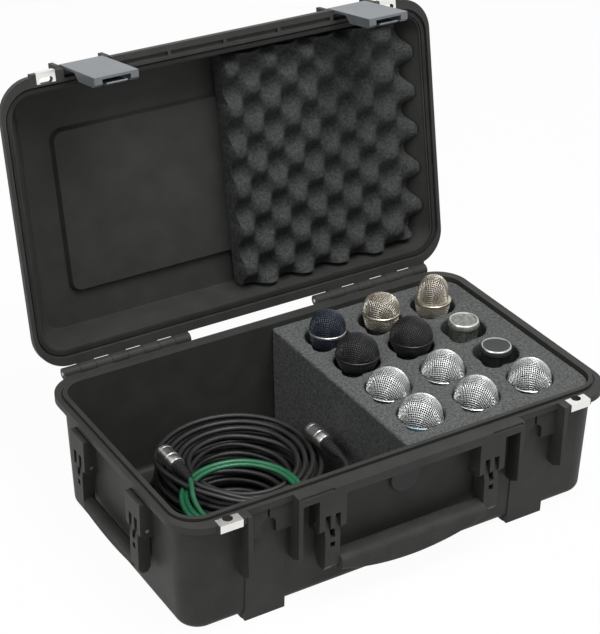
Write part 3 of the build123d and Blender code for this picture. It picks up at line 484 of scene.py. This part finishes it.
lower_line = [(-196, -122, 19.8), (-204, -121.5, 18.4), (-216, -116.5, 15.2), (-225, -105.5, 13.6),
              (-229.5, -90, 13.3), (-230, -62, 13.3), (-224.5, -28, 13.3)]
lower_line += winding(lower_centre, lower_heights, math.pi, 21.361, True, 3)
lower_line += [(-44, 71, 38), (-29, 70, 29.5), (-16.5, 64, 22.8), (-8.2, 53.5, 19.8), (-4.8, 41, 19.4),
               (-4.5, 30, 19.8)]
upper_line = [(-20, -56, 95.1), (-20.5, -66, 95), (-25, -77.5, 94.8), (-35, -85.5, 94.6),
              (-49, -88.5, 94.5), (-64, -88, 94.4)]
upper_line += over_the_green(winding(upper_centre, upper_heights, math.radians(-75), 21.097, True, 5))
upper_line += [(-168, -77, 50), (-188, -78, 44), (-203, -78, 35), (-215.5, -77, 27.6), (-226.5, -73, 22.8),
               (-235, -66, 20.4), (-240, -57.3, 19.8), (-241, -50, 19.8)]
green_line = [(-56, -122, 19.8), (-68, -122, 20.5), (-84, -122.5, 32), (-100, -124, 56), (-114, -127, 78),
              (-127, -129, 87)]
for index in range(green_count + 1):
    angle = green_first - green_turns * 2 * math.pi * index / green_count
    reach = green_reach - green_gain * green_turns * index / green_count
    reach += green_ripple * math.sin(green_waves * angle)
    green_line.append((green_centre[0] + reach * math.cos(angle), green_centre[1] + reach * math.sin(angle),
                       green_height))
green_line += [(-198.5, -58, 91), (-196.5, -43, 95.5), (-191, -30, 98.8), (-186, -18, 99.8)]

lower_plugs = plug_pair("plugs_black_lower", ((-134, -122, 90), 19.8), ((-4.5, -32, 0), 19.8))
upper_plugs = plug_pair("plugs_black_upper", ((-20, 6, 180), 95.1), ((-241, 12, 180), 19.8))
green_plugs = plug_pair("plugs_green", ((-186, 44, 180), 99.8), ((6, -122, 90), 19.8))
for name, line, colour, metres, ends in (
        ("cable_black_lower", lower_line, "cable_black", 10.0, lower_plugs),
        ("cable_black_upper", upper_line, "cable_black", 10.0, upper_plugs),
        ("cable_green", green_line, "cable_green", 1.1, green_plugs)):
    made = cable(name + "_line", line, colour)
    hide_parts(name)

# ---------------------------------------------------------------- microphones


def turned(profile, x, y, around=48, flutes=0, depth=0.0, fluted=()):
    """Points and faces of a drawn (radius, height) profile turned about an upright axis."""
    points, faces = [], []
    for ring, (size, height) in enumerate(profile):
        for index in range(around):
            angle = 2 * math.pi * index / around
            groove = depth * math.cos(flutes * angle) if ring in fluted else 0
            points.append(at(x + (size + groove) * math.cos(angle), y + (size + groove) * math.sin(angle),
                             height))
    for ring in range(len(profile) - 1):
        for index in range(around):
            beside = (index + 1) % around
            faces.append((ring * around + index, (ring + 1) * around + index,
                          (ring + 1) * around + beside, ring * around + beside))
    return points, faces


def dome_profile(ring_radius, low, top, bulge, count=24):
    """(radius, height) from the top of a grille down to its ring, along one smooth curve."""
    ends = np.array([(0, top), (bulge * ring_radius, top), (ring_radius, low + bulge * (top - low)),
                     (ring_radius, low)], float)
    share = np.linspace(0, 1, count)[:, None]
    return ((1 - share) ** 3 * ends[0] + 3 * (1 - share) ** 2 * share * ends[1]
            + 3 * (1 - share) * share ** 2 * ends[2] + share ** 3 * ends[3])


def wires(paths, size, sides=4):
    """Points and faces of thin wires along paths of points, with closed ends."""
    points, faces = [], []
    for path in paths:
        path = np.asarray(path)
        ahead = np.gradient(path, axis=0)
        ahead /= np.linalg.norm(ahead, axis=1)[:, None]
        across = np.cross(ahead, (0.3, 0.5, 0.81))
        across /= np.linalg.norm(across, axis=1)[:, None]
        over = np.cross(ahead, across)
        base = len(points)
        for side in range(sides):
            angle = 2 * math.pi * (side + 0.5) / sides
            ring = path + size * (math.cos(angle) * across + math.sin(angle) * over)
            points += ring.tolist()
        count = len(path)
        for side in range(sides):
            beside = (side + 1) % sides
            for step in range(count - 1):
                faces.append((base + side * count + step, base + side * count + step + 1,
                              base + beside * count + step + 1, base + beside * count + step))
        faces.append(tuple(base + side * count for side in range(sides)))
        faces.append(tuple(base + side * count + count - 1 for side in reversed(range(sides))))
    return points, faces


def woven(profile, x, y, spin, pitch=2.55, size=0.43, weave=0.24):
    """Wires of a square mesh that is pressed over a dome, crossing over and under."""
    steps = np.concatenate([[0], np.cumsum(np.linalg.norm(np.diff(profile, axis=0), axis=1))])
    reach = steps[-1]
    paths = []
    rows = int(reach / pitch)
    for turn in (0, 1):
        for row in range(-rows, rows + 1):
            side = row * pitch
            half = math.sqrt(max(reach ** 2 - side ** 2, 0))
            if half < pitch:
                continue
            count = int(half / pitch)
            spots = [-half] + [column * pitch for column in range(-count, count + 1)] + [half]
            path = []
            for column, along in enumerate(spots):
                flat = (along, side) if turn else (side, along)
                arc = min(math.hypot(*flat), reach)
                angle = math.atan2(flat[1], flat[0]) + spin
                near = np.interp(arc, steps, profile[:, 0])
                height = np.interp(arc, steps, profile[:, 1])
                lift = weave * (1 if (column + row + turn) % 2 else -1)
                out = lift * near / max(near, profile[-1, 0])
                rise = lift * math.sqrt(max(0, 1 - (near / profile[-1, 0]) ** 2))
                path.append(at(x + (near + out) * math.cos(angle), y + (near + out) * math.sin(angle),
                               height + rise))
            paths.append(path)
    return wires(paths, size / 1000)


def lattice(x, y, high, low, count, size=0.45, steps=10, hollow=1.5, twist=1.1):
    """Diagonal wires both ways round the bowl between two (radius, height) limits."""
    paths = []
    for way in (-1, 1):
        for index in range(count):
            path = []
            for step in range(steps + 1):
                share = step / steps
                near = high[0] + (low[0] - high[0]) * share ** hollow
                angle = 2 * math.pi * index / count + way * twist * share
                path.append(at(x + near * math.cos(angle), y + near * math.sin(angle),
                               high[1] + (low[1] - high[1]) * share))
            paths.append(path)
    return wires(paths, size / 1000)


foam_top = 148
first_x, first_y, pitch_x, pitch_y = 57, -95, 74, 64
body_foot = 14.2
slim_sides, slim_flutes, slim_depth = 96, 16, 1.0
grey_disc_mic, low_disc_mic = 9, 6
lattice_wires, lattice_drop = 34, 18
# ring above the foam, top above the foam, ring radius, roundness of the dome
heads = {
    "ball": (-6, 21.5, 25.5, 0.575),
    "high_ball": (8, 33.5, 25.5, 0.56),
    "taper": (7, 32, 22, 0.66),
    "flat": (10.5, 32, 22.5, 0.76),
    "dome": (6, 37.5, 22, 0.74),
}
kinds = ["ball"] * 5 + ["slim", "high_ball", "high_ball", "slim", "taper", "flat", "dome"]
grilles = ["mic_silver"] * 5 + ["mic_black"] * 3 + ["mic_silver", "mic_blue"] + ["mic_champagne"] * 2
bands = {1: band_blue, 7: finishes["mic_black"], 8: finishes["mic_black"], 11: finishes["mic_champagne"],
         12: finishes["mic_champagne"]}
for number in range(1, 13):
    node = f"mic_{number:02d}"
    body = node + "_body"
    x = first_x + pitch_x * ((number - 1) % 3)
    y = first_y + pitch_y * ((number - 1) // 3)
    kind = kinds[number - 1]
    colour = grilles[number - 1]
    made = []
    if kind == "slim":
        ring = foam_top + (3 if number == low_disc_mic else 5)
        profile = [(0, ring + 4.6), (8, ring + 4.8), (15.5, ring + 4.6), (15.8, ring + 5.5),
                   (16.8, ring + 5.6), (17.7, ring + 4.6), (18.5, ring + 2), (18.5, ring - 1),
                   (17.4, ring - 2.2), (16.2, ring - 4), (16, ring - 30), (15, ring - 60), (12, 16),
                   (10.5, body_foot), (0, body_foot)]
        points, faces = turned(profile, x, y, slim_sides, slim_flutes, slim_depth, (9, 10, 11))
        grey = number == grey_disc_mic
        disc = disc_grey if grey else mic_body
        rim = finishes["mic_silver"] if grey else finishes["plug_metal"]
        made.append(piece(node + "_head", points, faces, [disc, rim, mic_body], body, 0.5))
        places = [0] * 2 + [1] * 3 + [0 if grey else 2] * 5
        places += [2] * (len(profile) - 1 - len(places))
        for index, face in enumerate(made[0].data.polygons):
            face.material_index = places[index // slim_sides]
    else:
        ring_up, top, ring_radius, bulge = heads[kind]
        ring = foam_top + ring_up
        bowl = ring_radius - 0.8
        neck = min(18, bowl - 0.8)
        foot = bowl - 3 if kind == "dome" else bowl - 0.4
        outer = dome_profile(foot, ring + 1.5, foam_top + top - 0.5, bulge)
        points, faces = woven(outer, x, y, chance.uniform(0.6, 1.0))
        low_points, low_faces = lattice(x, y, (bowl - 0.3, ring - 1.5), (neck, ring - lattice_drop),
                                        lattice_wires)
        faces += [tuple(corner + len(points) for corner in face) for face in low_faces]
        made.append(piece(node + "_grille", points + low_points, faces, [finishes[colour]], body, 3.0))
        inner = [(max(size - 0.9, 0), height - 0.7) for size, height in outer.tolist()]
        inner += [(bowl - 1.4, ring - 2), (neck - 0.6, ring - lattice_drop)]
        points, faces = turned(inner, x, y)
        made.append(piece(node + "_lining", points, faces, [mic_core], body))
        profile = [(foot - 0.9, ring + 1.6), (bowl + 0.2, ring + 1.7), (ring_radius - 0.1, ring + 1.3),
                   (ring_radius, ring + 0.8), (ring_radius, ring - 0.8), (ring_radius - 0.1, ring - 1.3),
                   (bowl + 0.2, ring - 1.7), (bowl - 0.9, ring - 1.6)]
        points, faces = turned(profile, x, y, 64)
        made.append(piece(node + "_band", points, faces, [bands.get(number, finishes["mic_silver"])], body))
        profile = [(neck - 1, ring - 17.2), (neck + 0.3, ring - 17.6), (neck + 0.3, ring - 21),
                   (neck - 0.6, ring - 22), (16, ring - 30), (15.4, ring - 33), (12.2, 17), (10.8, 14.3),
                   (0, body_foot)]
        points, faces = turned(profile, x, y)
        made.append(piece(node + "_handle", points, faces, [mic_body], body, 0.5))
    for item in made:
        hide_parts(node)

# ---------------------------------------------------------------- foam

block = bpy.data.objects.new("foam_block_cut", nodes["foam_block"].data.copy())
bpy.context.scene.collection.objects.link(block)
remesh = block.modifiers.new("remesh", "REMESH")
remesh.mode = "VOXEL"
remesh.voxel_size = 0.0024
shaped = bpy.data.meshes.new_from_object(block.evaluated_get(bpy.context.evaluated_depsgraph_get()))
block.modifiers.clear()
uncut = block.data
block.data = shaped
bpy.data.meshes.remove(uncut)
spots = np.empty(3 * len(shaped.vertices), np.float32)
normals = np.empty_like(spots)
shaped.vertices.foreach_get("co", spots)
shaped.vertex_normals.foreach_get("vector", normals)
rough = np.array([noise.noise(Vector(spot) * 260) * 0.00022 + noise.noise(Vector(spot) * 40) * 0.0004 - 0.0004
                  for spot in spots.reshape(-1, 3)], np.float32)
shaped.vertices.foreach_set("co", spots + normals * np.repeat(rough, 3))
shaped.materials.clear()
shaped.materials.append(finishes["foam"])
shaped.shade_smooth()
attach(block, "root")
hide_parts("foam_block")

# The crate foam is drawn under the closed lid, and turned with it
left, far, half_width, corner = 5.0, 238.0, 139.0, 26.0
back, slab = 197.2, 177.2
crest_x, crest_y, crest_pitch_x, crest_pitch_y = 13, 22, 50, 48
crest_height, valley = 19, 3
lean_reach, lean_slope = 50, 0.45
across = 118
along = 140
sheet = bmesh.new()
grid = []
for column in range(across + 1):
    for row in range(along + 1):
        px = left + (far - left) * column / across
        py = -half_width + 2 * half_width * row / along
        crest = 0.5 + 0.5 * (math.cos(2 * math.pi * (px - crest_x) / crest_pitch_x)
                             * math.cos(2 * math.pi * (py - crest_y) / crest_pitch_y))
        crest = crest * crest * (3 - 2 * crest)
        height = slab + valley - crest_height * crest
        beyond_x, beyond_y = px - (far - corner), abs(py) - (half_width - corner)
        outside = beyond_x > 0 and beyond_y > 0 and math.hypot(beyond_x, beyond_y) > corner
        if outside:
            pull = corner / math.hypot(beyond_x, beyond_y)
            px = far - corner + beyond_x * pull
            py = math.copysign(half_width - corner + beyond_y * pull, py)
        lean = min(1.0, max(0.0, (px - far + lean_reach) / lean_reach))
        px += lean_slope * (back - height) * lean ** 2
        spot = at(px, py, height)
        ripple = noise.noise(Vector((px, py, height)) * 0.12) * 0.0007
        grid.append((sheet.verts.new(spot + Vector((0, 0, ripple))), outside))
for column in range(across):
    for row in range(along):
        ring = [grid[column * (along + 1) + row], grid[(column + 1) * (along + 1) + row],
                grid[(column + 1) * (along + 1) + row + 1], grid[column * (along + 1) + row + 1]]
        if not all(outside for _, outside in ring):
            sheet.faces.new([vertex for vertex, _ in ring])
bmesh.ops.delete(sheet, geom=[v for v in sheet.verts if not v.link_faces], context="VERTS")
rim = [edge for edge in sheet.edges if edge.is_boundary]
drawn = bmesh.ops.extrude_edge_only(sheet, edges=rim)["geom"]
for vertex in [item for item in drawn if isinstance(item, bmesh.types.BMVert)]:
    vertex.co.z = back / 1000
    vertex.co.x = min(vertex.co.x, far / 1000)
bmesh.ops.edgeloop_fill(sheet, edges=[item for item in drawn if isinstance(item, bmesh.types.BMEdge)
                                      and item.is_boundary])
bmesh.ops.recalc_face_normals(sheet, faces=sheet.faces)
for vertex in sheet.verts:
    vertex.co = opened(vertex.co)
mesh = bpy.data.meshes.new("lid_foam_crate")
sheet.to_mesh(mesh)
sheet.free()
mesh.materials.append(lid_foam)
mesh.shade_smooth()
mesh.set_sharp_from_angle(angle=1.1)
crate = bpy.data.objects.new("lid_foam_crate", mesh)
bpy.context.scene.collection.objects.link(crate)
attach(crate, "lid")
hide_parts("lid_foam")
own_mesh(crate)
